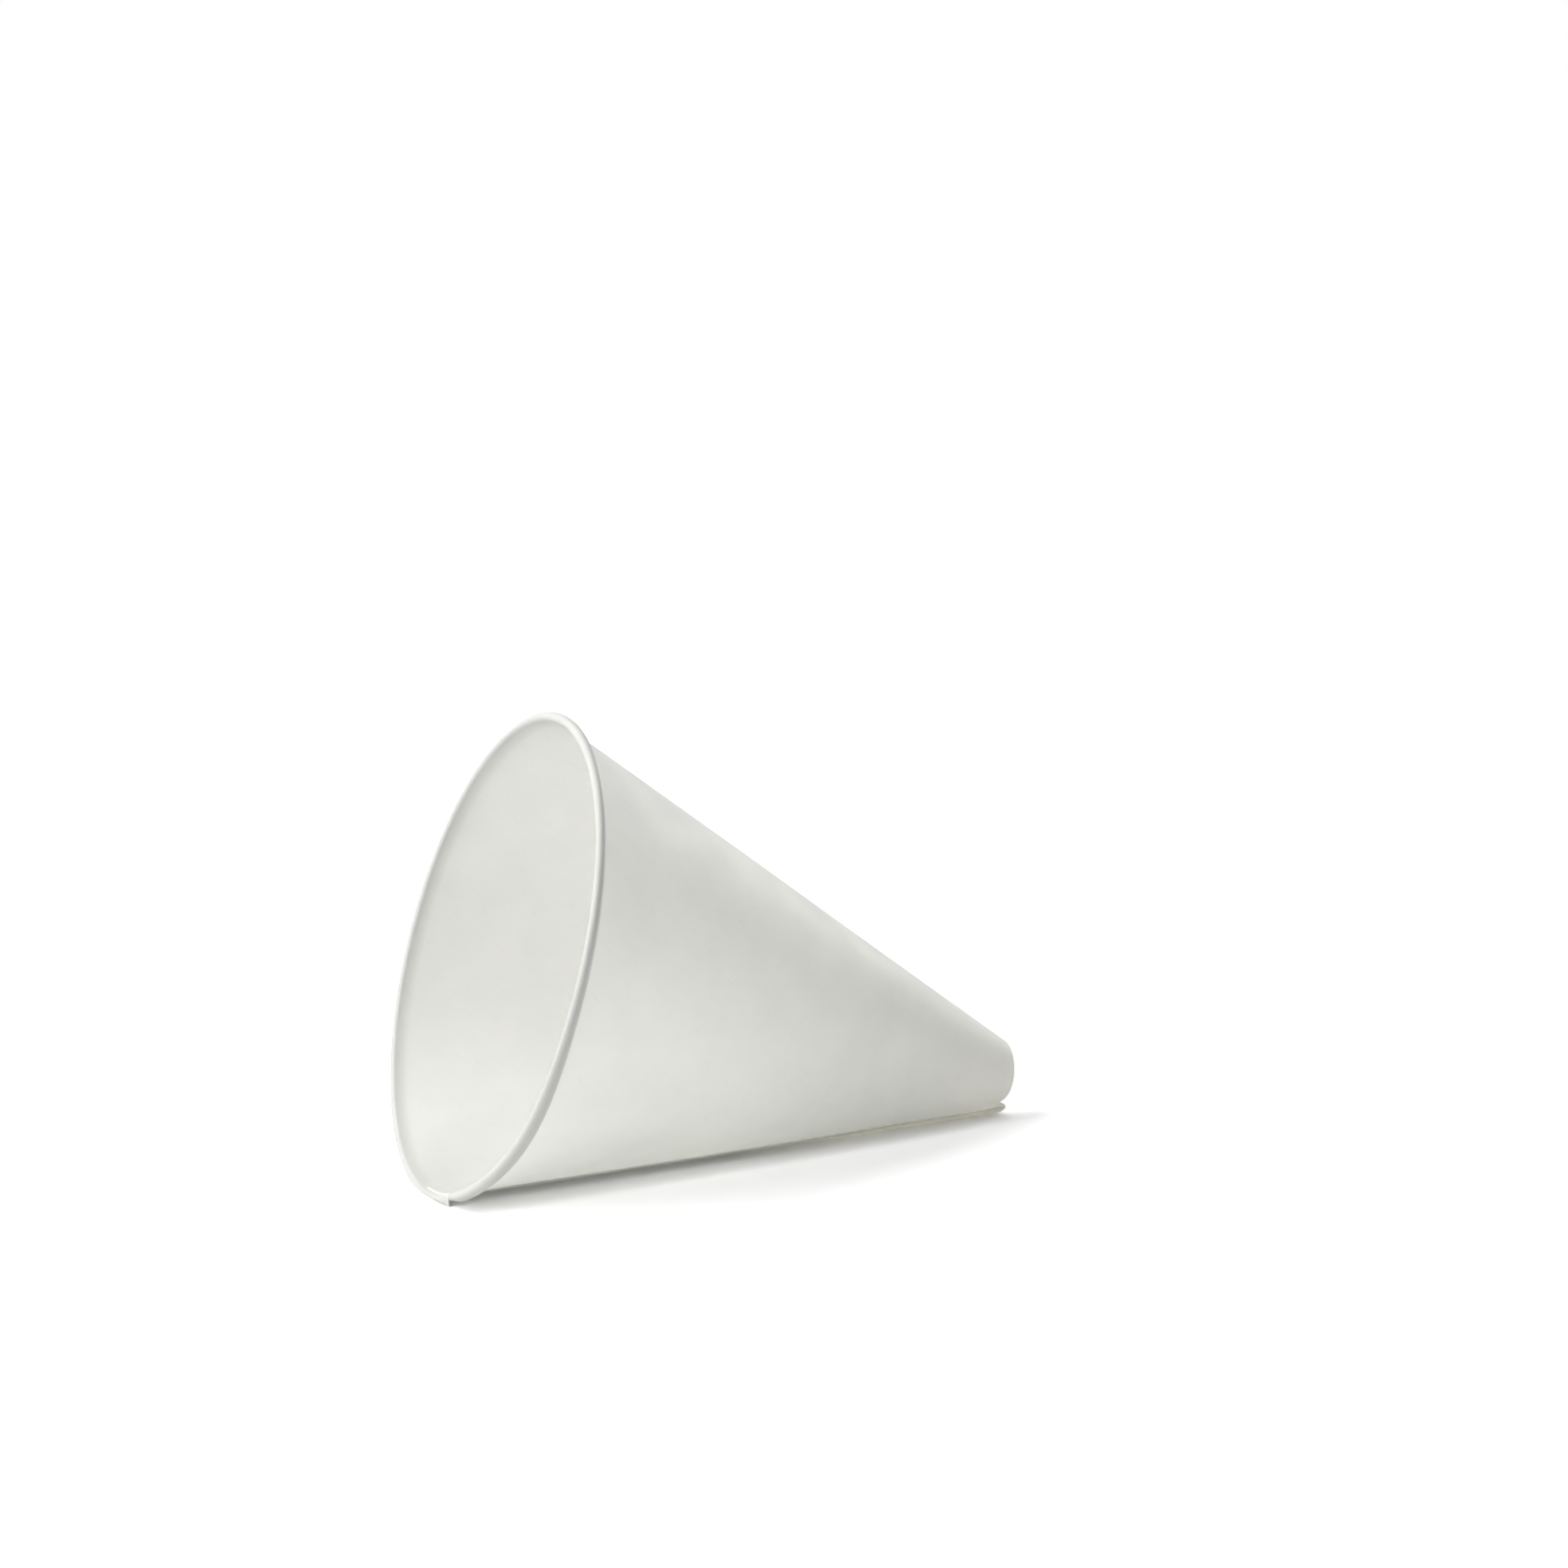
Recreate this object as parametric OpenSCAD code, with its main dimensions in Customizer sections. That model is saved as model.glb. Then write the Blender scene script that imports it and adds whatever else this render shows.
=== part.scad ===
// Paper funnel: one paper sheet wound to a cone, glued along a lap, with a rolled rim and a cut-off tip.
// It lies on its side, as it comes to rest, on the flat stretch of its rim and the edge of its outlet.
// +X runs from the mouth to the tip, +Z is up, and the origin is on the surface under the middle.

/* [Mouth] */
// Outside diameter across the rolled rim
mouth_d = 95; // [80:1:120]
// Thickness of the roll along the rim
roll_d = 2; // [1.7:0.1:3]

/* [Cone] */
// Height along the axis, from the top of the rim to the middle of the outlet
cone_h = 111; // [90:1:140]
// Outside diameter of the single paper at the outlet
outlet_d = 14; // [13:0.5:24]
// Slant of the cut at the outlet, longest along the lap, in degrees
outlet_slant = 9; // [0:1:15]
// Thickness of the paper
paper_t = 0.35; // [0.25:0.05:0.5]

/* [Lap] */
// Width of the glued lap, the same from the rim to the outlet
lap_w = 12; // [6:0.5:13]
// Turn of the middle of the lap from the resting side towards the front, in degrees
lap_turn = 6; // [2:0.5:10]
// Length of the slit where the lap has opened at the outlet
slit_l = 2.5; // [1:0.5:5]
// Width of that slit at the outlet
slit_w = 1; // [0.5:0.1:2]

/* [Rest] */
// Width of the stretch of rim that is pressed flat where it rests
flat_w = 21; // [12:1:22]

/* [Hidden] */
$fn = 144;

// Share of its radius by which the roll stands inside the wall's inner face
bulge_share = 0.05;
// Share of its thickness by which the lap's plies are pressed into each other
glue_share = 0.15;
// Overrun of every cut
cut_over = 1;

mouth_r = mouth_d / 2;
roll_r = roll_d / 2;
outlet_r = outlet_d / 2;

// Half section through the cone: distance from the axis, distance from the mouth
roll_c = [mouth_r - roll_r, roll_r];
outlet_p = [outlet_r, cone_h];
fall = roll_c.x - outlet_p.x;
run = outlet_p.y - roll_c.y;
wall_in = roll_r * (1 - bulge_share);
wall_a = atan2(fall, run) - asin((wall_in - paper_t) / norm([fall, run]));
wall_n = [cos(wall_a), sin(wall_a)];

// Thickness of the paper measured away from the axis
ply = paper_t / cos(wall_a);
// Two-centre spiral: each half turn of the sheet starts this much further out, so its ends lap
spiral_step = ply * (1 - glue_share) / 2;
lap_rise = 2 * spiral_step;

// Rise of the slanted outlet above its middle, at the lap and opposite it
slant_rise = tan(outlet_slant);
wall_fall = tan(wall_a);
lap_r = outlet_r + lap_rise;
lap_dz = lap_r * slant_rise / (1 + slant_rise * wall_fall);
top_dz = outlet_r * slant_rise / (1 - slant_rise * wall_fall);
tip_spare = lap_dz + cut_over;

// Resting side: depth of the flat in the rim, tilt of the axis and height of the mouth's middle
rest_r = mouth_r + lap_rise;
flat_sag = rest_r - sqrt(pow(rest_r, 2) - pow(flat_w / 2, 2));
tip_p = [lap_r - lap_dz * wall_fall, cone_h + lap_dz];
lie_fall = roll_c.x + lap_rise - flat_sag - tip_p.x;
lie_run = tip_p.y - roll_c.y;
lie_a = atan2(lie_fall, lie_run) + asin(roll_r / norm([lie_fall, lie_run]));
rest_h = tip_p.x * cos(lie_a) + tip_p.y * sin(lie_a);

// Middle of the lying funnel, measured from the middle of its mouth
rim_x = roll_c.y * cos(lie_a) - (roll_c.x + lap_rise) * sin(lie_a) - roll_r;
tip_x = (cone_h - top_dz) * cos(lie_a) + (outlet_r + top_dz * wall_fall) * sin(lie_a);
mid = [(rim_x + tip_x) / 2, spiral_step / 2];

// Turn from the middle of the lap to its free edge at the outlet
slit_turn = asin(lap_w / 2 / lap_r);
slit_h = cone_h + lap_dz * cos(slit_turn);

// Sheet in section: the straight wall, long enough to cut at the tip, and the edge rolled up at the mouth
module sheet_section() {
    spare = tip_spare * [-wall_fall, 1];
    polygon([
        roll_c - wall_in * wall_n,
        roll_c - (wall_in - paper_t) * wall_n,
        outlet_p + spare,
        outlet_p - [ply, 0] + spare
    ]);
    translate(roll_c)
        circle(roll_r);
}

// Half turn of the sheet and a quarter more, cut off along one edge of the lap
module sheet_turn(out, from, edge) {
    difference() {
        translate([out, 0, 0])
            rotate_extrude(angle = 270, start = from)
                translate([out, 0])
                    sheet_section();
        translate([-cut_over, edge > 0 ? lap_w / 2 : -lap_w / 2 - rest_r, -cut_over])
            cube([rest_r + 2 * cut_over, rest_r, cone_h + tip_spare + 2 * cut_over]);
    }
}

// Front half turn: it runs on inside the back half as the lap's inner ply
module front_half() {
    sheet_turn(0, 180, 1);
}

// Back half turn: it runs on over the front half as the lap's outer ply and ends in the free edge
module back_half() {
    sheet_turn(spiral_step, 270, -1);
}

// Everything past the slanted cut at the outlet
module past_outlet() {
    translate([0, 0, cone_h])
        rotate([0, -outlet_slant, 0])
            translate([-outlet_d, -outlet_d, 0])
                cube(2 * outlet_d);
}

// Slit at the outlet, where the lap's free edge has come unglued
module slit() {
    open_w = slit_w * (slit_l + cut_over) / slit_l;
    rotate(-slit_turn)
        translate([outlet_r / 2, 0, slit_h])
            rotate([90, 0, 90])
                linear_extrude(outlet_r)
                    polygon([[0, -slit_l], [open_w / 2, cut_over], [-open_w / 2, cut_over]]);
}

// Lays the upright sheet, mouth down on the origin, on its side with the lap below
module laid_down() {
    translate([-mid.x, -mid.y, rest_h])
        rotate([0, 90 + lie_a, 0])
            rotate(-lap_turn)
                children();
}

// Everything below the surface that the funnel rests on
module below_rest() {
    span = cone_h + mouth_d;
    translate([-span / 2, -span / 2, -span])
        cube(span);
}

module paper_cone() {
    color("#ECEDE8")
        difference() {
            laid_down()
                difference() {
                    union() {
                        front_half();
                        back_half();
                    }
                    past_outlet();
                    slit();
                }
            below_rest();
        }
}

paper_cone();
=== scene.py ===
"""Paper funnel: one bleached, lightly waxed sheet wound to a cone, lying on its side on a pale floor.

The sheet is modelled as the real one is made. It is wound once round with a glued lap, its edge is
rolled outwards at the mouth, and its tip is cut off on a slant. All sizes are in millimetres until a
mesh is made, and Blender's own units are metres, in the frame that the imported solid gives.
"""

from __future__ import annotations

import logging
import math
from dataclasses import dataclass
from enum import Enum
from typing import Any

import bpy
import numpy as np
from mathutils import Matrix, Vector

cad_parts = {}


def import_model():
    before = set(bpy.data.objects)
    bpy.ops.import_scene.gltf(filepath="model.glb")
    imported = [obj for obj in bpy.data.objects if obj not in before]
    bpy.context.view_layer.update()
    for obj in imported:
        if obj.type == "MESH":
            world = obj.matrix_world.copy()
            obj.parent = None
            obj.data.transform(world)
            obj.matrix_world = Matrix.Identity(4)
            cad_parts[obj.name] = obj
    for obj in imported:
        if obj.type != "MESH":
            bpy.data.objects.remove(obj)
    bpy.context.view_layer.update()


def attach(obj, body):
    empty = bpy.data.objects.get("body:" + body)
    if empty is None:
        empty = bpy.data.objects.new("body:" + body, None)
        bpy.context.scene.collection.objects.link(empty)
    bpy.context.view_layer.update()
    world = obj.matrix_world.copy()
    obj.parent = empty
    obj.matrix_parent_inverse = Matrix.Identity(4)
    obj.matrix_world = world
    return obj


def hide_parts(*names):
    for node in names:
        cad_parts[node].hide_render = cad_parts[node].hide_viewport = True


LOG = logging.getLogger("paper_funnel")
MM = 0.001
IMAGE_SIDE_PX = 1600
SENSOR_MM = 36.0
# Inputs and colour output of Blender's mix node, by number because several share a name
MIX_SHARE, MIX_A, MIX_B = 0, 2, 3
MIX_COLOUR_A, MIX_COLOUR_B, MIX_COLOUR = 6, 7, 2


class SheetLayer(Enum):
    """What the sheet's mesh carries at its points for the material."""

    FLAT_PLACE = "flat_place"
    # Cut edges: raw fibre, with a painted highlight
    CUT_EDGE = "cut_edge"
    GLUED_LAP = "glued_lap"
    # Where the paper is rolled, and where the roll's painted shade lies, also on the wall just below
    ROLLED_RIM_AND_SHADE = "rolled_rim_and_shade"


def linear(hex_colour: str) -> tuple[float, float, float, float]:
    """Turns an sRGB hex colour into linear light.

    Args:
        hex_colour: six hex digits after a hash sign.

    Returns:
        Linear red, green and blue, and an alpha of one.
    """
    shares = [int(hex_colour[i : i + 2], 16) / 255 for i in (1, 3, 5)]
    red, green, blue = (s / 12.92 if s <= 0.04045 else ((s + 0.055) / 1.055) ** 2.4 for s in shares)
    return red, green, blue, 1.0


def smooth(share: np.ndarray) -> np.ndarray:
    """Eases a share from 0 to 1, level at both ends and clipped outside them."""
    share = np.clip(share, 0.0, 1.0)
    return share * share * (3.0 - 2.0 * share)


def toward(azimuth_deg: float, elevation_deg: float) -> Vector:
    """Gives the direction from the funnel to a lamp or to the camera.

    Args:
        azimuth_deg: angle round the funnel, from -Y towards +X.
        elevation_deg: angle above the floor.

    Returns:
        The direction, of length one.
    """
    azimuth, elevation = math.radians(azimuth_deg), math.radians(elevation_deg)
    level = math.cos(elevation)
    return Vector((math.sin(azimuth) * level, -math.cos(azimuth) * level, math.sin(elevation)))


def add_node(tree: bpy.types.NodeTree, kind: str, settings: dict[str | int, Any]) -> bpy.types.Node:
    """Adds one node with its settings and links.

    Args:
        tree: the node tree that gets the node.
        kind: Blender's name of the node's type.
        settings: properties, input values and sockets to link, by property name, input name or
            input number, set in the order given.

    Returns:
        The new node.
    """
    node = tree.nodes.new(kind)
    for name, value in settings.items():
        if isinstance(name, str) and name in node.bl_rna.properties:
            setattr(node, name, value)
        elif isinstance(value, bpy.types.NodeSocket):
            tree.links.new(value, node.inputs[name])
        else:
            node.inputs[name].default_value = value
    return node


@dataclass(frozen=True)
class WaxedPaper:
    """Bleached cone paper, calendered smooth and lightly waxed.

    The eye sees a matt off-white with a soft broad sheen. The wax makes the thin sheet translucent, so
    that light on one side glows through to the other and the rolled rim, many plies thick, stays
    darker; the roll's colour is painted darker as well, as painted shade. Close up there are a faint
    cloudy formation, short fibres along the grain, a slightly warmer tone where glue has soaked in,
    which makes the lap clearer near the tip, and pale raw fibre on the cut edges, painted a little
    lighter than the paper as a painted highlight.
    """

    name: str = "bleached_waxed_paper"
    paper: str = "#F6F6F3"
    cloud: str = "#F2F3F0"
    fibre: str = "#E8E7E0"
    glue: str = "#F7F6F2"
    # Raw fibre on the cut edges, painted a little lighter than the paper as a painted highlight
    raw_edge_and_highlight: str = "#FAFAF7"
    # Painted shade: the roll's plies are coloured darker, as they send less light back than the
    # single sheet with light behind it
    plies: str = "#C6C6C2"
    # Share of the light that goes on through each face: dry, soaked with glue, and in the roll
    through: float = 0.48
    through_glue: float = 0.76
    through_roll: float = 0.06
    # Shares of glue at which the paper starts to clear and is soaked through
    soak_low: float = 0.50
    soak_high: float = 0.75
    ior: float = 1.47
    # The wax is smoother between the clouds of the formation, from and to these levels of its noise
    roughness_low: float = 0.50
    roughness_high: float = 0.62
    raw_roughness: float = 0.90
    sheen_low: float = 0.30
    sheen_high: float = 0.70
    cloud_mm: float = 5.0
    cloud_low: float = 0.35
    cloud_high: float = 0.70
    cloud_detail: float = 4.0
    # Real fibres are about 0.03 mm wide. They are drawn wider so that they show in the render.
    fibre_width_mm: float = 0.22
    fibre_length_mm: float = 2.0
    fibre_share: float = 0.30
    fibre_low: float = 0.60
    fibre_high: float = 0.78
    fibre_detail: float = 2.0
    tooth_mm: float = 0.25
    tooth_depth_mm: float = 0.006
    cockle_mm: float = 12.0
    cockle_depth_mm: float = 0.008
    relief_detail: float = 1.0

    def material(self) -> bpy.types.Material:
        """Builds the paper's material.

        Returns:
            The material, which reads the sheet's flat coordinates and its shares of cut edge, glue
            and roll; those of cut edge and roll also carry a painted highlight and a painted shade.
        """
        material = bpy.data.materials.new(self.name)
        material.use_nodes = True
        tree = material.node_tree
        tree.nodes.clear()
        layers = {
            layer: add_node(tree, "ShaderNodeAttribute", {"attribute_name": layer.value}).outputs
            for layer in SheetLayer
        }
        place = layers[SheetLayer.FLAT_PLACE]["Vector"]
        # The cut edge's share also carries a painted highlight, and the roll's share a painted shade
        raw = layers[SheetLayer.CUT_EDGE]["Fac"]
        soaked = layers[SheetLayer.GLUED_LAP]["Fac"]
        rolled = layers[SheetLayer.ROLLED_RIM_AND_SHADE]["Fac"]
        clouds = add_node(
            tree,
            "ShaderNodeTexNoise",
            {"Vector": place, "Scale": self._lumps(self.cloud_mm), "Detail": self.cloud_detail},
        ).outputs["Fac"]
        tint = self._tint(tree, place, clouds, (soaked, rolled, raw))
        normal = self._relief(tree, place)
        waxed = add_node(
            tree,
            "ShaderNodeMapRange",
            {
                "Value": clouds,
                "From Min": self.sheen_low,
                "From Max": self.sheen_high,
                "To Min": self.roughness_low,
                "To Max": self.roughness_high,
            },
        )
        rough = add_node(
            tree,
            "ShaderNodeMix",
            {"data_type": "FLOAT", MIX_SHARE: raw, MIX_A: waxed.outputs[0], MIX_B: self.raw_roughness},
        )
        face = add_node(
            tree,
            "ShaderNodeBsdfPrincipled",
            {"Base Color": tint, "Roughness": rough.outputs[0], "IOR": self.ior, "Normal": normal},
        )
        glow = add_node(tree, "ShaderNodeBsdfTranslucent", {"Color": tint, "Normal": normal})
        wet = add_node(
            tree,
            "ShaderNodeMapRange",
            {
                "Value": soaked,
                "From Min": self.soak_low,
                "From Max": self.soak_high,
                "To Min": self.through,
                "To Max": self.through_glue,
            },
        )
        through = add_node(
            tree,
            "ShaderNodeMix",
            {"data_type": "FLOAT", MIX_SHARE: rolled, MIX_A: wet.outputs[0], MIX_B: self.through_roll},
        )
        both = add_node(
            tree,
            "ShaderNodeMixShader",
            {0: through.outputs[0], 1: face.outputs[0], 2: glow.outputs[0]},
        )
        add_node(tree, "ShaderNodeOutputMaterial", {"Surface": both.outputs[0]})
        return material

    @staticmethod
    def _lumps(size_mm: float) -> float:
        """Noise scale at which one light or dark lump is about the given size."""
        return 1.0 / (2.0 * size_mm * MM)

    def _tint(
        self,
        tree: bpy.types.NodeTree,
        place: bpy.types.NodeSocket,
        clouds: bpy.types.NodeSocket,
        masks: tuple[bpy.types.NodeSocket, ...],
    ) -> bpy.types.NodeSocket:
        """Colours the paper: formation, fibres, glue, the roll with its painted shade and the raw cut
        edges with their painted highlight.

        Args:
            tree: the material's node tree.
            place: flat coordinates of the sheet, in metres.
            clouds: the formation's noise.
            masks: shares of glue, of rolled rim with its painted shade, and of raw cut edge with its
            painted highlight.

        Returns:
            The colour.
        """
        soaked, rolled, raw = masks
        grain = (1.0, self.fibre_width_mm / self.fibre_length_mm, 1.0)
        along = add_node(tree, "ShaderNodeMapping", {"Vector": place, "Scale": grain})
        fibres = add_node(
            tree,
            "ShaderNodeTexNoise",
            {
                "Vector": along.outputs[0],
                "Scale": self._lumps(self.fibre_width_mm),
                "Detail": self.fibre_detail,
            },
        )
        strands = add_node(
            tree,
            "ShaderNodeMapRange",
            {
                "Value": fibres.outputs["Fac"],
                "From Min": self.fibre_low,
                "From Max": self.fibre_high,
                "To Min": 0.0,
                "To Max": self.fibre_share,
            },
        )
        formed = add_node(
            tree,
            "ShaderNodeMapRange",
            {"Value": clouds, "From Min": self.cloud_low, "From Max": self.cloud_high},
        )
        tint: Any = linear(self.paper)
        for share, colour in (
            (formed.outputs[0], self.cloud),
            (strands.outputs[0], self.fibre),
            (soaked, self.glue),
            # Painted shade on the roll and on the wall just below it
            (rolled, self.plies),
            # Painted highlight on the cut edges, with their raw fibre
            (raw, self.raw_edge_and_highlight),
        ):
            mixed = add_node(
                tree,
                "ShaderNodeMix",
                {
                    "data_type": "RGBA",
                    MIX_SHARE: share,
                    MIX_COLOUR_A: tint,
                    MIX_COLOUR_B: linear(colour),
                },
            )
            tint = mixed.outputs[MIX_COLOUR]
        return tint

    def _relief(
        self, tree: bpy.types.NodeTree, place: bpy.types.NodeSocket
    ) -> bpy.types.NodeSocket:
        """Adds the paper's slow cockle and its fine tooth.

        Args:
            tree: the material's node tree.
            place: flat coordinates of the sheet, in metres.

        Returns:
            The normal.
        """
        settings: dict[str | int, Any] = {"Strength": 1.0}
        for size, depth in (
            (self.cockle_mm, self.cockle_depth_mm),
            (self.tooth_mm, self.tooth_depth_mm),
        ):
            noise = add_node(
                tree,
                "ShaderNodeTexNoise",
                {"Vector": place, "Scale": self._lumps(size), "Detail": self.relief_detail},
            )
            settings |= {"Distance": depth * MM, "Height": noise.outputs["Fac"]}
            settings["Normal"] = add_node(tree, "ShaderNodeBump", settings).outputs["Normal"]
        return settings["Normal"]


@dataclass(frozen=True)
class PaperWave:
    """One slow wave of the paper's unevenness, round the cone and twisting along it."""

    share: float
    count: int
    # Both in radians: where the wave starts, and how far it twists from the outlet to the rim
    phase: float
    twist: float
    fades_to_rim: bool = False

    def at(self, turn: np.ndarray, along: np.ndarray) -> np.ndarray:
        """Gives the height of the wave, as a share of the unevenness.

        Args:
            turn: turns round the sheet, in radians.
            along: shares of the way from the outlet to the rim.

        Returns:
            The heights.
        """
        height = self.share * np.cos(self.count * turn + self.phase + self.twist * along)
        return height * (1 - along) if self.fades_to_rim else height


@dataclass
class PaperSheet:
    """The wound sheet: wall, glued lap, rolled rim, slanted outlet and the flat that it rests on.

    A place on the sheet is given by its turn, in radians from the middle of the lap on the inner ply
    (it goes by the front and over the top to the outer ply), and by its row, from the outlet along
    the wall and round the roll. The section is in pairs: distance from the axis, distance from the
    mouth.
    """

    mouth_d: float = 95.0
    roll_d: float = 2.0
    cone_h: float = 111.0
    outlet_d: float = 14.0
    outlet_slant: float = 9.0
    paper_t: float = 0.35
    lap_w: float = 12.0
    lap_turn: float = 6.0
    slit_l: float = 2.5
    slit_w: float = 1.0
    flat_w: float = 21.0
    # How far the roll stands inside the wall's inner face, as a share of its radius
    bulge_share: float = 0.05
    # Clear gap between plies that lie on each other, as a share of the paper
    gap_share: float = 0.03
    # Turn of the paper in the roll, in degrees, and where it starts to tuck in behind the rim
    roll_turn: float = 900.0
    tuck_turn: float = 225.0
    # Tightest bend in the middle of the roll, as a share of the paper
    tight_share: float = 1 / 3
    # The lap's free edge bends in towards the outlet, over this distance from the axis
    lap_narrow: float = 1.8
    lap_narrow_r: float = 9.0
    # The roll starts thinner beside the lap, and its end is pinched to a small spur at the lap's corner
    roll_start_share: float = 0.62
    roll_start_w: float = 6.0
    spur_out: float = 0.35
    spur_w: float = 3.5
    spur_pinch_share: float = 0.92
    spur_pinch_w: float = 2.6
    # It is thickest at the lower front, this far along the rim from where it starts, and shortens the
    # cone there
    swell_share: float = 0.35
    swell_back: float = 1.0
    swell_at: float = 32.0
    swell_w: float = 20.0
    # The roll's painted shade is lighter at the upper front, around this turn in degrees, where light
    # falls on it, and the roll lets more light through there
    less_shade_at: float = 150.0
    less_shade_w: float = 40.0
    less_shade_share: float = 0.65
    # Corner of the wall above the slit: worn round and pressed in
    lip_back: float = 1.3
    lip_in: float = 0.45
    lip_w: float = 3.2
    # Share of glue all round at the tip, and the length over which it fades
    tip_soak_share: float = 0.5
    tip_soak_l: float = 25.0
    # Height over which the flat squeezes the rim, and length of wall that it lifts
    squeeze_h: float = 1.0
    squeeze_l: float = 16.0
    # Small unevenness of hand-wound paper
    uneven: float = 0.14
    waves: tuple[PaperWave, ...] = (
        PaperWave(0.55, 2, -0.7, 0.0),
        PaperWave(0.30, 3, 0.0, 5.0),
        PaperWave(0.25, 5, -math.pi / 2, 9.0, True),
    )
    # Bulge of the cut edges
    edge_bulge: float = 0.07
    # Angle in degrees above which an edge between two faces is a crease
    crease: float = 50.0
    lap_columns: int = 22
    wall_columns: int = 264
    # The first rows stand closer, over a length of this many slits
    tip_slits: float = 1.5
    tip_rows: int = 10
    wall_rows: int = 48
    roll_rows: int = 52
    edge_rings: int = 3
    # Rounds in which the turns and radii of the wall are fitted to each other
    fit_rounds: int = 4
    # Rounding allowed where a place on the lap's edge is told from one beside it
    slack: float = 1e-6

    BAKE_MAP = "OFBake"
    NODE = "paper_cone"

    def __post_init__(self) -> None:
        """Works out the cone's section and its place on the floor from the driving sizes."""
        self.mouth_r = self.mouth_d / 2
        self.roll_r = self.roll_d / 2
        self.outlet_r = self.outlet_d / 2
        self.roll_c = np.array([self.mouth_r - self.roll_r, self.roll_r])
        wall_in = self.roll_r * (1 - self.bulge_share)
        fall = self.roll_c[0] - self.outlet_r
        run = self.cone_h - self.roll_c[1]
        across = math.asin((wall_in - self.paper_t) / math.hypot(fall, run))
        self.wall_a = math.atan2(fall, run) - across
        self.wall_fall = math.tan(self.wall_a)
        self.wall_out = np.array([math.cos(self.wall_a), math.sin(self.wall_a)])
        self.to_mouth = np.array([math.sin(self.wall_a), -math.cos(self.wall_a)])
        self.ply = self.paper_t / math.cos(self.wall_a)
        self.lap_rise = self.ply * (1 + self.gap_share)
        # Middle of the paper where the wall ends and the roll begins
        self.roll_mid = wall_in - self.paper_t / 2
        self.foot = self.roll_c - self.roll_mid * self.wall_out
        self._lay_down()

    def _lay_down(self) -> None:
        """Works out the tilt of the axis and the place of the mouth's middle over the floor."""
        slant = math.tan(math.radians(self.outlet_slant))
        lap_r = self.outlet_r + self.lap_rise
        lap_dz = lap_r * slant / (1 + slant * self.wall_fall)
        top_dz = self.outlet_r * slant / (1 - slant * self.wall_fall)
        rest_r = self.mouth_r + self.lap_rise
        flat_sag = rest_r - math.sqrt(rest_r**2 - (self.flat_w / 2) ** 2)
        tip = (lap_r - lap_dz * self.wall_fall, self.cone_h + lap_dz)
        lie_fall = self.roll_c[0] + self.lap_rise - flat_sag - tip[0]
        lie_run = tip[1] - self.roll_c[1]
        reach = math.hypot(lie_fall, lie_run)
        self.lie_a = math.atan2(lie_fall, lie_run) + math.asin(self.roll_r / reach)
        cos_a, sin_a = math.cos(self.lie_a), math.sin(self.lie_a)
        self.rest_h = tip[0] * cos_a + tip[1] * sin_a
        rim_x = self.roll_c[1] * cos_a - (self.roll_c[0] + self.lap_rise) * sin_a - self.roll_r
        tip_x = (self.cone_h - top_dz) * cos_a
        tip_x += (self.outlet_r + top_dz * self.wall_fall) * sin_a
        # The back half is wound half a rise further out than the front, so the middle is off by half that
        self.origin = np.array([-(rim_x + tip_x) / 2, -self.lap_rise / 4, self.rest_h])
        self.axis = np.array([cos_a, 0.0, -sin_a])
        self.down = np.array([-sin_a, 0.0, -cos_a])
        self.across = np.array([0.0, 1.0, 0.0])

    @property
    def columns(self) -> int:
        """Number of columns of points round the sheet."""
        return 2 * self.lap_columns + self.wall_columns + 1

    def _lap_half(self, radius: np.ndarray) -> np.ndarray:
        """Half the lap's width as a turn, in radians, at a distance from the axis."""
        narrow = self.lap_narrow * (1 - smooth((radius - self.outlet_r) / self.lap_narrow_r))
        return np.arcsin((self.lap_w / 2 - narrow) / radius)

    def _turns(self, radius: np.ndarray) -> np.ndarray:
        """Spreads the columns of the sheet over the lap's inner ply, the wall and its outer ply.

        Args:
            radius: distance from the axis, for each row or each place.

        Returns:
            Turns in radians, by row and column.
        """
        half = np.broadcast_to(self._lap_half(radius), (radius.shape[0], self.columns))
        column = np.arange(self.columns)
        first, last = self.lap_columns, self.lap_columns + self.wall_columns
        inner = -half + 2 * half * column / self.lap_columns
        wall = half + (2 * math.pi - 2 * half) * (column - first) / self.wall_columns
        outer = 2 * math.pi - half + 2 * half * (column - last) / self.lap_columns
        return np.where(column < first, inner, np.where(column <= last, wall, outer))

    def _spiral(self, turn: np.ndarray) -> np.ndarray:
        """How far the sheet has wound outwards at a turn: nothing until the top, then one ply."""
        return np.where(turn > math.pi, self.lap_rise * (1 + np.cos(turn)) / 2, 0.0)

    def _swell(self, turn: np.ndarray) -> np.ndarray:
        """Share of the roll's thickest stretch, at the lower front, at a turn."""
        beside = (turn - self._lap_half(self.foot[0])) * self.mouth_r
        return np.exp(-(((beside - self.swell_at) / self.swell_w) ** 2))

    def _outlet_z(self, turn: np.ndarray) -> np.ndarray:
        """Distance from the mouth at which the slanted cut meets the outside of the wall."""
        lean = math.tan(math.radians(self.outlet_slant)) * np.cos(turn)
        wide = self.outlet_r + self.cone_h * self.wall_fall + self._spiral(turn)
        return (self.cone_h + lean * wide) / (1 + lean * self.wall_fall)

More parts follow.
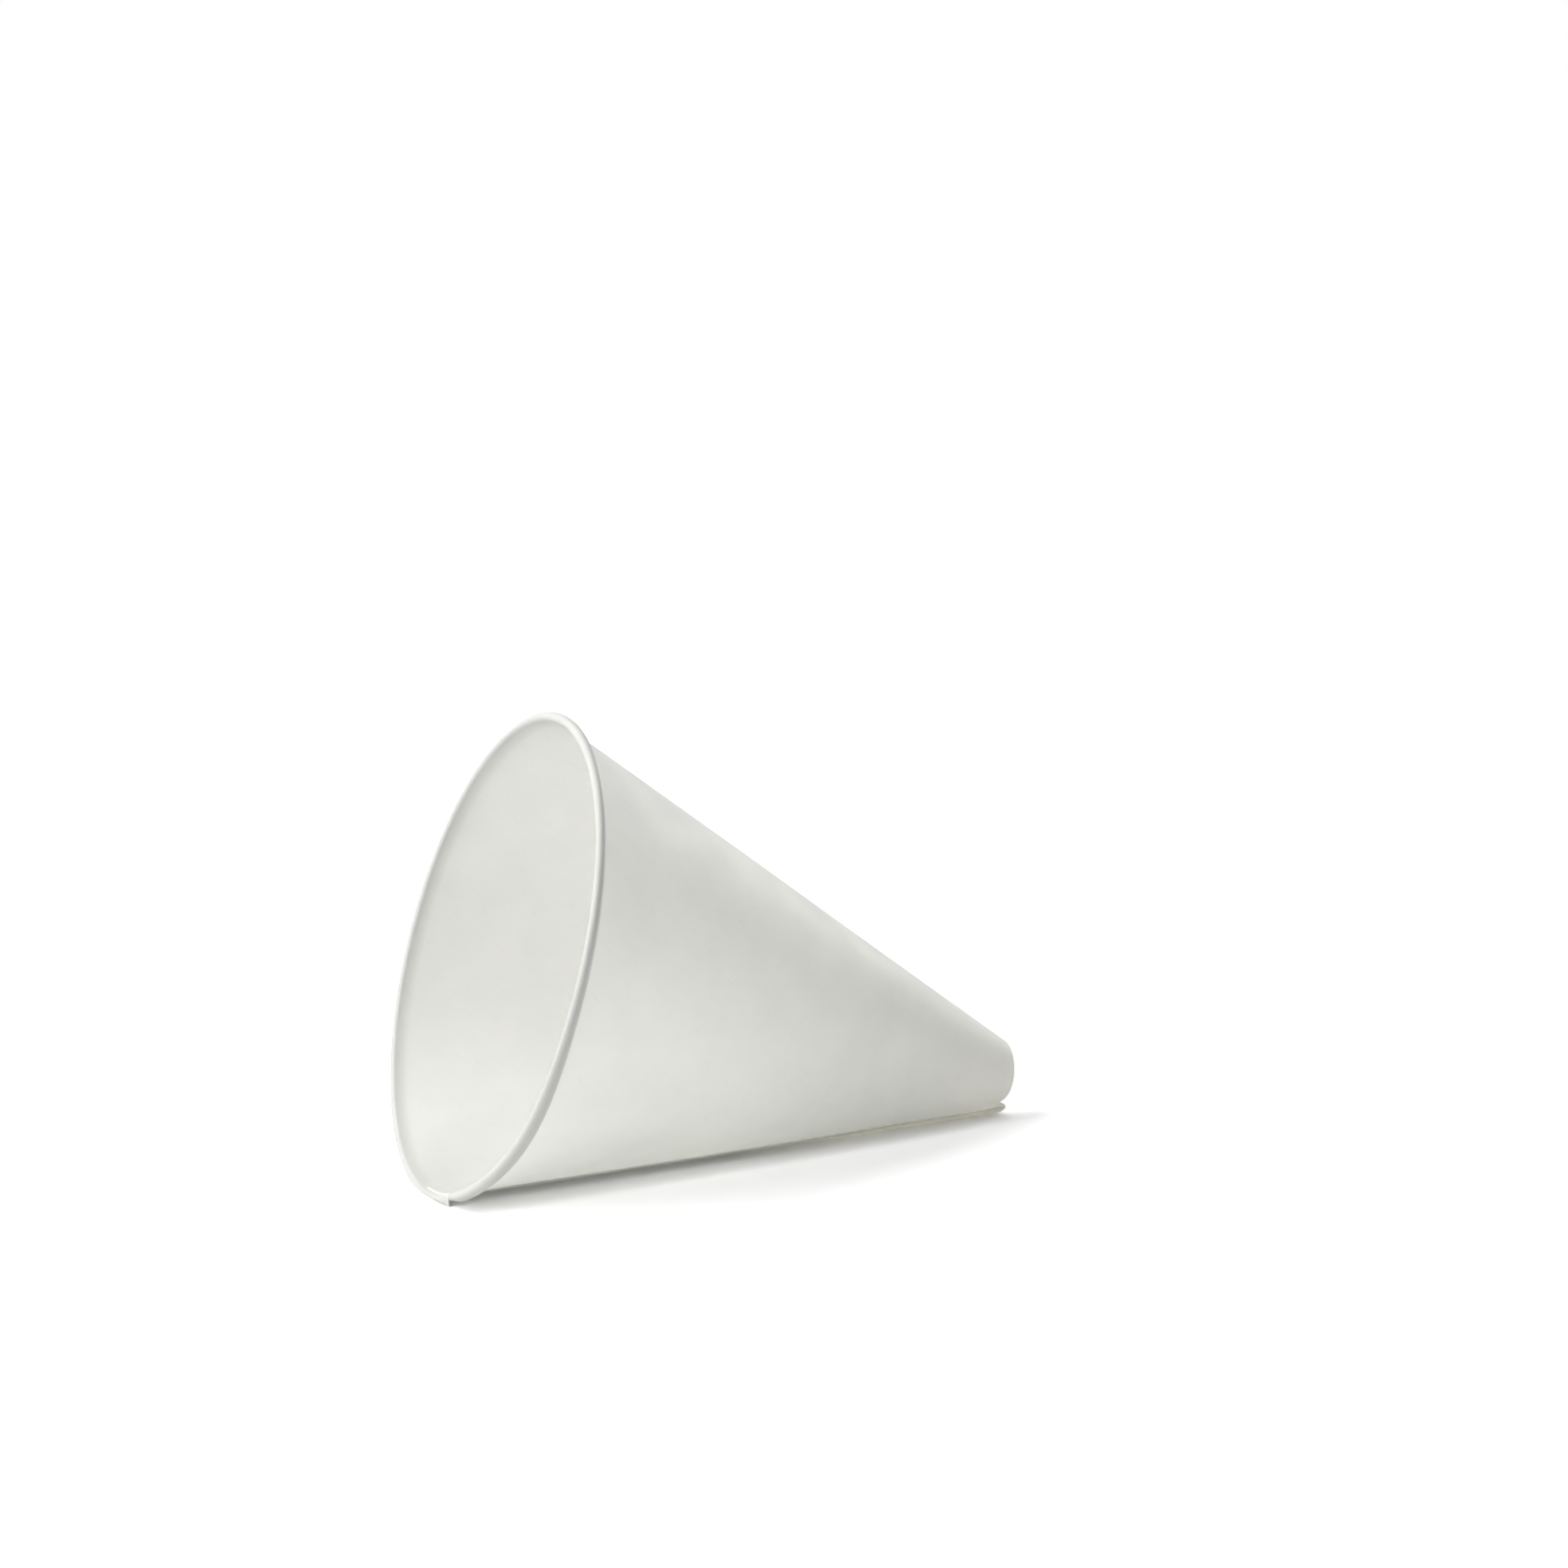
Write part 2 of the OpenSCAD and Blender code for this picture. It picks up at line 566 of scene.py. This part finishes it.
    def _wall(self) -> tuple[np.ndarray, np.ndarray, np.ndarray, np.ndarray]:
        """Lays out the middle of the paper along the straight wall.

        Returns:
            Turns, section places, section normals and distances from the cut, by row and column.
        """
        tip_l = self.tip_slits * self.slit_l
        fine = np.linspace(0.0, tip_l, self.tip_rows, endpoint=False)
        coarse = np.linspace(tip_l, self.cone_h, self.wall_rows + 1)
        from_tip = np.concatenate([fine, coarse])[:, None]
        radius = np.full((len(from_tip), self.columns), self.outlet_r) + from_tip * self.wall_fall
        for _ in range(self.fit_rounds):
            turn = self._turns(radius)
            cut_z = self._outlet_z(turn)
            end_z = self.foot[1] + self.swell_back * self._swell(turn)
            z = cut_z + (end_z - cut_z) * from_tip / self.cone_h
            radius = self.outlet_r + (self.cone_h - z) * self.wall_fall - self.ply / 2
        section = np.stack([radius + self._spiral(turn), z], -1)
        normal = np.broadcast_to(-self.wall_out, section.shape)
        return turn, section, normal, np.broadcast_to(from_tip, z.shape)

    def _roll(self) -> tuple[np.ndarray, np.ndarray, np.ndarray, np.ndarray]:
        """Lays out the middle of the paper round the roll of the rim.

        Returns:
            Turns, section places, section normals and distances from the cut, by row and column.
        """
        bend = np.radians(np.linspace(0.0, self.roll_turn, self.roll_rows + 1)[1:, None])
        turn = self._turns(np.full((self.roll_rows, 1), self.foot[0]))
        per_turn = self.paper_t * (1 + self.gap_share)
        crest = self.roll_r - self.paper_t / 2
        full = np.radians(self.tuck_turn)
        tuck = smooth((bend - full) / (2 * math.pi - full))
        wide = self.roll_mid + (crest - self.roll_mid) * smooth(bend / math.pi)
        further = np.clip(bend - 2 * math.pi, 0.0, None) / (2 * math.pi)
        reach = wide + (self.roll_mid - per_turn - wide) * tuck - per_turn * further
        reach = np.maximum(reach, self.paper_t * self.tight_share)
        step = np.gradient(reach[:, 0], bend[:, 0])[:, None]

        # The roll's size follows the turn: thin at its start, thick at the lower front, pinched at its end
        half = self._lap_half(self.foot[0])
        to_start = (turn - half) * self.mouth_r
        to_end = (2 * math.pi + half - turn) * self.mouth_r
        swell = self._swell(turn)
        pinch = self.spur_pinch_share * (1 - smooth(to_end / self.spur_pinch_w))
        start = (1 - self.roll_start_share) * smooth(to_start / self.roll_start_w)
        size = (self.roll_start_share + start) * (1 + self.swell_share * swell) * (1 - pinch)

        out = -self.wall_out * np.cos(bend)[..., None] + self.to_mouth * np.sin(bend)[..., None]
        along = self.wall_out * np.sin(bend)[..., None] + self.to_mouth * np.cos(bend)[..., None]
        centre = self.foot + self.roll_mid * size[..., None] * self.wall_out
        kept_out = 2 * self.roll_mid * pinch * smooth(bend / math.pi)
        down_wall = np.array([-self.wall_fall, 1.0])
        section = centre + (reach * size)[..., None] * out + kept_out[..., None] * self.wall_out
        section = section + (self.swell_back * swell)[..., None] * down_wall
        spur = self.spur_out * (1 - smooth(to_end / self.spur_w))
        section[..., 0] += self._spiral(turn) + spur * np.sin(bend / 2) ** 2
        normal = np.broadcast_to(reach[..., None] * out - step[..., None] * along, section.shape)
        normal = normal / np.linalg.norm(normal, axis=-1, keepdims=True)
        from_tip = self.cone_h + np.broadcast_to(bend * crest, turn.shape)
        return turn, section, normal, from_tip

    def _pressed(self, turn: np.ndarray, section: np.ndarray, from_tip: np.ndarray) -> np.ndarray:
        """Adds what use has done to the paper: its unevenness and the worn lips of the slit.

        Args:
            turn: turns by row and column.
            section: section places by row and column.
            from_tip: distances from the cut by row and column.

        Returns:
            The changed section places.
        """
        section = section.copy()
        along = np.clip(from_tip / self.cone_h, 0.0, 1.0)
        once = turn - 2 * math.pi * (turn > 2 * math.pi)
        height = sum(wave.at(once, along) for wave in self.waves)
        section[..., 0] += self.uneven * height * np.sqrt(np.sin(math.pi * along))

        # Worn corner of the single wall above the slit, which fades along the cut and up the wall
        above = (turn - self._lap_half(section[..., 0])) * section[..., 0]
        on_wall = (above > -self.slack) * (turn < math.pi)
        near = np.exp(-(np.clip(above, 0.0, None) + from_tip) / self.lip_w) * on_wall
        section[..., 1] -= self.lip_back * near
        section[..., 0] -= self.lip_in * near
        return section

    def _radial(self, turn: np.ndarray) -> np.ndarray:
        """Direction away from the axis at a turn, in the frame."""
        angle = -math.radians(self.lap_turn) - turn
        return np.cos(angle)[..., None] * self.down + np.sin(angle)[..., None] * self.across

    def _turned(self, turn: np.ndarray, section: np.ndarray) -> np.ndarray:
        """Turns section places or normals into the frame, measured from the middle of the mouth."""
        return section[..., :1] * self._radial(turn) + section[..., 1:] * self.axis

    def _settled(self, place: np.ndarray) -> np.ndarray:
        """Squeezes the lowest part of the rim flat on the floor.

        Args:
            place: places in the frame, in millimetres.

        Returns:
            The places, none below the floor.
        """
        ring_r = self.roll_c[0] + self.lap_rise
        beside = np.clip((place[:, 1] - self.origin[1]) / ring_r, -1.0, 1.0)
        drop = ring_r * np.sqrt(1 - beside**2) * math.cos(self.lie_a)
        low = self.rest_h - drop - self.roll_c[1] * math.sin(self.lie_a) - self.roll_r
        depth = np.clip(-low, 0.0, None)
        from_mouth = (place - self.origin) @ self.axis
        depth = depth * (1 - smooth((from_mouth - self.roll_d) / self.squeeze_l))
        height = np.clip(place[:, 2] + depth, 0.0, None)
        lift = depth * np.clip(1 - height / (self.squeeze_h + depth), 0.0, 1.0)
        settled = place.copy()
        settled[:, 2] = np.maximum(place[:, 2] + lift, 0.0)
        return settled

    def _flat(self, turn: np.ndarray, from_tip: np.ndarray) -> np.ndarray:
        """Places on the sheet laid out flat, as it was cut, in millimetres."""
        from_apex = self.outlet_r / math.sin(self.wall_a) + from_tip / math.cos(self.wall_a)
        angle = (turn - math.pi) * math.sin(self.wall_a)
        return np.stack([from_apex * np.sin(angle), -from_apex * np.cos(angle)], -1)

    def _masks(
        self, turn: np.ndarray, section: np.ndarray, from_tip: np.ndarray
    ) -> dict[SheetLayer, np.ndarray]:
        """Works out where the paper is soaked with glue, and where it is rolled, which is also where
        the roll's painted shade goes, on the roll and on the wall just below it.

        Args:
            turn: turns by row and column.
            section: section places by row and column.
            from_tip: distances from the cut by row and column.

        Returns:
            Shares by row and column, for each layer.
        """
        on_lap = abs(turn - math.pi) > math.pi - self._lap_half(section[..., 0])
        soaked = np.clip(1 - from_tip / self.cone_h, 0.0, 1.0) * on_lap
        at_tip = self.tip_soak_share * (1 - smooth(from_tip / self.tip_soak_l))
        # Painted shade: the roll's share also reaches the wall that it lies against, just below it,
        # where the roll shades it
        rolled = smooth((from_tip - self.cone_h + self.roll_r) / self.roll_d)
        # Less painted shade on the roll at the upper front, where light falls on it
        less_shade = np.exp(-(((np.degrees(turn) - self.less_shade_at) / self.less_shade_w) ** 2))
        return {
            SheetLayer.GLUED_LAP: np.maximum(soaked, at_tip),
            SheetLayer.ROLLED_RIM_AND_SHADE: rolled * (1 - self.less_shade_share * less_shade),
        }

    def build(self) -> bpy.types.Object:
        """Builds the sheet as one closed mesh with its flat coordinates and masks.

        Returns:
            The object, in metres, in the frame.
        """
        parts = [np.concatenate(pair) for pair in zip(self._wall(), self._roll())]
        turn, section, normal, from_tip = parts
        section = self._pressed(turn, section, from_tip)
        last_wall_row = self.tip_rows + self.wall_rows

        # The slit: one column is doubled near the outlet, and its two copies stand apart
        column = self.lap_columns
        torn = np.flatnonzero(from_tip[:, column] < self.slit_l)
        gape = self.slit_w / 2 * (1 - from_tip[torn, column] / self.slit_l)
        gape = gape / section[torn, column, 0]
        torn_turn = turn[torn, column] + gape
        turn[torn, column] -= gape
        turn[torn, -1] -= gape

        def with_copies(values: np.ndarray) -> np.ndarray:
            """Lists values that are given by row and column, and after them those of the copies."""
            return np.concatenate([values.reshape(-1, *values.shape[2:]), values[torn, column]])

        spread = np.concatenate([turn.ravel(), torn_turn])
        place = self.origin + self._turned(spread, with_copies(section))
        facing = self._turned(spread, with_copies(normal))
        flat = self._flat(spread, with_copies(from_tip))
        masks = self._masks(turn, section, from_tip)
        masks = {layer: with_copies(mask) for layer, mask in masks.items()}

        index = np.arange(turn.size).reshape(turn.shape)
        left = index[:, :-1].copy()
        left[torn, column] = turn.size + np.arange(len(torn))
        quads = np.stack([left[:-1], index[:-1, 1:], index[1:, 1:], left[1:]], -1)
        # The inner ply isn't rolled under the lap: only the outer ply is
        wall, roll = quads[:last_wall_row], quads[last_wall_row:, column:]
        quads = np.concatenate([wall.reshape(-1, 4), roll.reshape(-1, 4)])
        thick = ThickSheet(place, facing, quads, self.paper_t, self.edge_bulge, self.edge_rings)
        return self._make_object(thick, flat, masks)

    def _make_object(
        self, thick: ThickSheet, flat: np.ndarray, masks: dict[SheetLayer, np.ndarray]
    ) -> bpy.types.Object:
        """Turns the thick sheet into a Blender object.

        Args:
            thick: the closed mesh.
            flat: flat place of every point of the middle surface.
            masks: shares of glue and of rolled rim, which carries the roll's painted shade, at each
            such point, for each layer.

        Returns:
            The object, linked to the scene.
        """
        mesh = bpy.data.meshes.new(self.NODE + "_sheet")
        mesh.from_pydata((self._settled(thick.points) * MM).tolist(), [], thick.faces.tolist())
        mesh.validate()
        mesh.shade_smooth()
        mesh.set_sharp_from_angle(angle=math.radians(self.crease))
        flat_points = flat[thick.source] + thick.outward_shift(flat)
        # The two faces of the paper take their patterns from layers that lie well apart
        side_shift = thick.side[:, None] * 2 * self.mouth_d
        layers = np.concatenate([flat_points, side_shift], -1) * MM
        attribute = mesh.attributes.new(SheetLayer.FLAT_PLACE.value, "FLOAT_VECTOR", "POINT")
        attribute.data.foreach_set("vector", layers.astype(np.float32).ravel())
        shares = {layer: mask[thick.source] for layer, mask in masks.items()}
        for layer, values in (shares | {SheetLayer.CUT_EDGE: thick.raw}).items():
            attribute = mesh.attributes.new(layer.value, "FLOAT", "POINT")
            attribute.data.foreach_set("value", values.astype(np.float32))
        self._unwrap(mesh, thick, flat_points)
        obj = bpy.data.objects.new(self.NODE + "_sheet", mesh)
        bpy.context.scene.collection.objects.link(obj)
        return obj

    def _unwrap(self, mesh: bpy.types.Mesh, thick: ThickSheet, flat: np.ndarray) -> None:
        """Lays both faces of the sheet out flat on the texture map, one above the other.

        Args:
            mesh: the mesh that gets the map.
            thick: the closed mesh's points and faces.
            flat: flat place of every point, in millimetres.
        """
        low, high = flat.min(0), flat.max(0)
        margin = 2 * self.roll_d
        span = max(high[0] - low[0] + 2 * margin, 2 * (high[1] - low[1]) + 3 * margin)
        loop_points = np.zeros(len(mesh.loops), np.int32)
        mesh.loops.foreach_get("vertex_index", loop_points)
        loop_side = np.repeat(thick.face_side, thick.faces.shape[1])
        spot = (flat[loop_points] - low + margin) / span
        spot[:, 1] += np.where(loop_side > 0, (high[1] - low[1] + margin) / span, 0.0)
        layer = mesh.uv_layers.new(name=self.BAKE_MAP)
        layer.uv.foreach_set("vector", spot.astype(np.float32).ravel())


@dataclass
class ThickSheet:
    """A middle surface made into a closed sheet of real thickness, with rounded cut edges."""

    place: np.ndarray
    facing: np.ndarray
    quads: np.ndarray
    thickness: float
    bulge: float
    rings: int
    # Share of raw fibre, with its painted highlight, that shows on both faces along a cut
    fray_and_highlight_share: float = 0.35

    def __post_init__(self) -> None:
        """Builds the two faces of the sheet and the cut edge between them."""
        half = self.facing * self.thickness / 2
        count = len(self.place)
        every = np.arange(count)
        edges = self._open_edges()
        cut = np.unique(edges)
        along = self.place[edges[:, 1]] - self.place[edges[:, 0]]
        out = self._at_points(edges, np.cross(along, self.facing[edges[:, 0]]), count)

        # Points of the inside face, of the outside face and of the rings round the cut between them
        points, source = [self.place + half, self.place - half], [every, every]
        side = [np.full(count, 1.0), np.full(count, -1.0)]
        raw = [np.isin(every, cut) * self.fray_and_highlight_share] * 2
        reach = [np.zeros(count), np.zeros(count)]
        for ring in range(1, self.rings + 1):
            bend = math.pi * ring / (self.rings + 1)
            bulged = half[cut] * math.cos(bend) + out[cut] * self.bulge * math.sin(bend)
            points.append(self.place[cut] + bulged)
            source.append(cut)
            side.append(np.full(len(cut), math.cos(bend)))
            raw.append(np.ones(len(cut)))
            reach.append(np.full(len(cut), self.thickness / 2 * math.sin(bend)))

        # One strip of faces between each ring and the next, from the inside face to the outside
        faces = [self.quads, self.quads[:, ::-1] + count]
        face_side = [np.full(len(self.quads), 1.0), np.full(len(self.quads), -1.0)]
        order = 2 * count + np.searchsorted(cut, edges)
        lines = [edges, *(order + ring * len(cut) for ring in range(self.rings)), edges + count]
        for strip, (near, far) in enumerate(zip(lines, lines[1:])):
            faces.append(np.stack([near[:, 1], near[:, 0], far[:, 0], far[:, 1]], -1))
            face_side.append(np.full(len(edges), 1.0 if strip < (self.rings + 1) / 2 else -1.0))

        # Points that no face uses are left out
        corner = np.concatenate(faces)
        keep = np.zeros(2 * count + self.rings * len(cut), bool)
        keep[corner] = True
        self.points = np.concatenate(points)[keep]
        self.source = np.concatenate(source)[keep]
        self.side = np.concatenate(side)[keep]
        self.raw = np.concatenate(raw)[keep]
        self.reach = np.concatenate(reach)[keep]
        self.faces = (np.cumsum(keep) - 1)[corner]
        self.face_side = np.concatenate(face_side)

    def _open_edges(self) -> np.ndarray:
        """Edges of the middle surface that have a face on one side only, in that face's order."""
        pairs = np.concatenate([self.quads[:, [i, (i + 1) % 4]] for i in range(4)])
        key = np.sort(pairs, 1) @ np.array([len(self.place), 1])
        _, first, number = np.unique(key, return_index=True, return_counts=True)
        return pairs[first[number == 1]]

    @staticmethod
    def _at_points(edges: np.ndarray, direction: np.ndarray, count: int) -> np.ndarray:
        """Averages the directions of edges at the points where the edges meet.

        Args:
            edges: numbers of the two points of each edge.
            direction: a direction for each edge.
            count: number of points.

        Returns:
            Unit directions by point, zero away from the edges.
        """
        total = np.zeros((count, direction.shape[1]))
        for end in (0, 1):
            np.add.at(total, edges[:, end], direction)
        length = np.linalg.norm(total, axis=1, keepdims=True)
        return np.divide(total, length, out=np.zeros_like(total), where=length > 0)

    def outward_shift(self, flat: np.ndarray) -> np.ndarray:
        """Works out how far the rounded edges reach past the sheet's outline on its flat layout.

        Args:
            flat: flat place of every point of the middle surface.

        Returns:
            Shifts by point of the closed mesh, in millimetres.
        """
        edges = self._open_edges()
        along = flat[edges[:, 1]] - flat[edges[:, 0]]
        out = np.stack([along[:, 1], -along[:, 0]], -1)
        return self._at_points(edges, out, len(flat))[self.source] * self.reach[:, None]


@dataclass(frozen=True)
class SoftBox:
    """A soft studio lamp, far enough away to light the whole funnel alike."""

    name: str
    azimuth_deg: float
    elevation_deg: float
    # Brightness of a white card that faces the lamp
    level: float
    spread_deg: float = 28.0

    def build(self) -> None:
        """Builds the lamp."""
        lamp = bpy.data.lights.new(self.name, "SUN")
        lamp.energy = self.level * math.pi
        lamp.angle = math.radians(self.spread_deg)
        lamp_object = bpy.data.objects.new(self.name, lamp)
        aim = toward(self.azimuth_deg, self.elevation_deg).to_track_quat("Z", "Y")
        lamp_object.rotation_euler = aim.to_euler()
        bpy.context.scene.collection.objects.link(lamp_object)


@dataclass
class Studio:
    """A pale floor under plain soft light, with a white background."""

    floor_colour: str = "#F4F4F4"
    floor_side_m: float = 40.0
    floor_drop_mm: float = 0.05
    floor_roughness: float = 0.9
    # Light that the floor adds for the camera alone, so that it is white where nothing shades it
    floor_lift: float = 0.53
    # That light fades close to the funnel, where the shadow is: the distance, how open the floor is
    # where the fade ends and begins, and the share that is left
    contact_mm: float = 5.5
    contact_open_low: float = 0.20
    contact_open_high: float = 0.90
    contact_lift_share: float = 0.12
    contact_samples: int = 2
    sky_colour: str = "#FFFFFF"
    sky_top: float = 0.29
    lamps: tuple[SoftBox, ...] = (
        SoftBox("back_left_box", 240.0, 51.0, 0.87, 40.0),
        SoftBox("low_right_box", 120.0, 10.0, 0.43),
        SoftBox("mouth_box", 270.0, 22.0, 0.53),
    )

    def build(self) -> bpy.types.Object:
        """Builds the floor, the lamps and the sky.

        Returns:
            The floor, which isn't part of the object.
        """
        self._sky()
        for lamp in self.lamps:
            lamp.build()
        return self._floor()

    def _sky(self) -> None:
        """Sets a soft sky, brighter above than at the sides, that the camera sees as white."""
        world = bpy.data.worlds.new("studio_sky")
        world.use_nodes = True
        tree = world.node_tree
        tree.nodes.clear()
        direction = add_node(tree, "ShaderNodeTexCoord", {})
        parts = add_node(tree, "ShaderNodeSeparateXYZ", {0: direction.outputs["Generated"]})
        level = add_node(
            tree,
            "ShaderNodeMapRange",
            {
                "Value": parts.outputs["Z"],
                "From Min": -1.0,
                "From Max": 1.0,
                "To Min": 0.0,
                "To Max": self.sky_top,
            },
        )
        strength = add_node(
            tree,
            "ShaderNodeMix",
            {"data_type": "FLOAT", MIX_SHARE: self._seen(tree), MIX_A: level.outputs[0], MIX_B: 1.0},
        )
        sky = add_node(
            tree,
            "ShaderNodeBackground",
            {"Color": linear(self.sky_colour), "Strength": strength.outputs[0]},
        )
        add_node(tree, "ShaderNodeOutputWorld", {"Surface": sky.outputs[0]})
        bpy.context.scene.world = world

    @staticmethod
    def _seen(tree: bpy.types.NodeTree) -> bpy.types.NodeSocket:
        """Adds a share of 1 for what is seen directly, in a gloss or through glass, and 0 for light.

        Args:
            tree: the node tree of the sky or the floor.

        Returns:
            The share. Light that a matt or translucent surface scatters isn't counted as seen.
        """
        ray = add_node(tree, "ShaderNodeLightPath", {}).outputs
        share = ray["Is Camera Ray"]
        for operation, kind in (
            ("MAXIMUM", "Is Glossy Ray"),
            ("MAXIMUM", "Is Transmission Ray"),
            ("SUBTRACT", "Is Diffuse Ray"),
        ):
            settings = {"operation": operation, "use_clamp": True, 0: share, 1: ray[kind]}
            share = add_node(tree, "ShaderNodeMath", settings).outputs[0]
        return share

    def _floor(self) -> bpy.types.Object:
        """Builds the floor: pale matt board that keeps the shadow.

        Returns:
            The floor's object.
        """
        half = self.floor_side_m / 2
        height = -self.floor_drop_mm * MM
        sides = ((-half, -half), (half, -half), (half, half), (-half, half))
        mesh = bpy.data.meshes.new("floor")
        mesh.from_pydata([(x, y, height) for x, y in sides], [], [(0, 1, 2, 3)])
        mesh.materials.append(self._board())
        floor = bpy.data.objects.new("floor", mesh)
        bpy.context.scene.collection.objects.link(floor)
        return floor

    def _board(self) -> bpy.types.Material:
        """Builds the floor's material, with the light that only the camera sees.

        Returns:
            The material: matt white board, which gives the eye an even pale grey without gloss.
        """
        material = bpy.data.materials.new("matt_white_board")
        material.use_nodes = True
        tree = material.node_tree
        tree.nodes.clear()
        board = add_node(
            tree,
            "ShaderNodeBsdfDiffuse",
            {"Color": linear(self.floor_colour), "Roughness": self.floor_roughness},
        )
        openness = add_node(
            tree,
            "ShaderNodeAmbientOcclusion",
            {"Distance": self.contact_mm * MM, "samples": self.contact_samples},
        )
        level = add_node(
            tree,
            "ShaderNodeMapRange",
            {
                "Value": openness.outputs["AO"],
                "From Min": self.contact_open_low,
                "From Max": self.contact_open_high,
                "To Min": self.floor_lift * self.contact_lift_share,
                "To Max": self.floor_lift,
            },
        )
        lift = add_node(
            tree,
            "ShaderNodeMath",
            {"operation": "MULTIPLY", 0: self._seen(tree), 1: level.outputs[0]},
        )
        glow = add_node(tree, "ShaderNodeEmission", {"Strength": lift.outputs[0]})
        both = add_node(tree, "ShaderNodeAddShader", {0: board.outputs[0], 1: glow.outputs[0]})
        add_node(tree, "ShaderNodeOutputMaterial", {"Surface": both.outputs[0]})
        return material


@dataclass
class PhotoCamera:
    """The camera at the photograph's viewing angle, fitted to the funnel's outline."""

    place_mm: tuple[float, float, float] = (-305.8, -796.4, 205.1)
    azimuth_deg: float = -22.05
    elevation_deg: float = 8.905
    roll_deg: float = -2.94
    focal_px: float = 4596.0
    # Farthest that the camera sees, beyond the floor's far edge
    sight_m: float = 100.0

    def build(self) -> bpy.types.Object:
        """Builds the camera and makes it the scene's own.

        Returns:
            The camera's object.
        """
        azimuth, roll = math.radians(self.azimuth_deg), math.radians(self.roll_deg)
        back = toward(self.azimuth_deg, self.elevation_deg)
        level_right = Vector((math.cos(azimuth), math.sin(azimuth), 0.0))
        level_up = back.cross(level_right)
        right = level_right * math.cos(roll) + level_up * math.sin(roll)
        up = level_up * math.cos(roll) - level_right * math.sin(roll)
        data = bpy.data.cameras.new("photo_camera")
        data.sensor_width = SENSOR_MM
        data.lens = self.focal_px * SENSOR_MM / IMAGE_SIDE_PX
        data.clip_end = self.sight_m
        camera = bpy.data.objects.new("photo_camera", data)
        turn = Matrix((right, up, back)).transposed().to_4x4()
        camera.matrix_world = Matrix.Translation(Vector(self.place_mm) * MM) @ turn
        bpy.context.scene.collection.objects.link(camera)
        bpy.context.scene.camera = camera
        return camera


def main() -> None:
    """Loads the frame, builds the funnel, the studio and the camera."""
    logging.basicConfig(level=logging.INFO, format="%(name)s: %(message)s")
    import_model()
    bpy.context.scene.view_settings.view_transform = "Standard"
    camera = PhotoCamera().build()
    LOG.info("%s: lens %.1f mm", camera.name, camera.data.lens)

    cone = PaperSheet().build()
    cone.data.materials.append(WaxedPaper().material())
    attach(cone, "root")
    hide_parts(PaperSheet.NODE)
    LOG.info("%s: %d faces", cone.name, len(cone.data.polygons))

    floor = Studio().build()
    LOG.info("%s: %.0f m across", floor.name, Studio.floor_side_m)


if __name__ == "__main__":
    main()
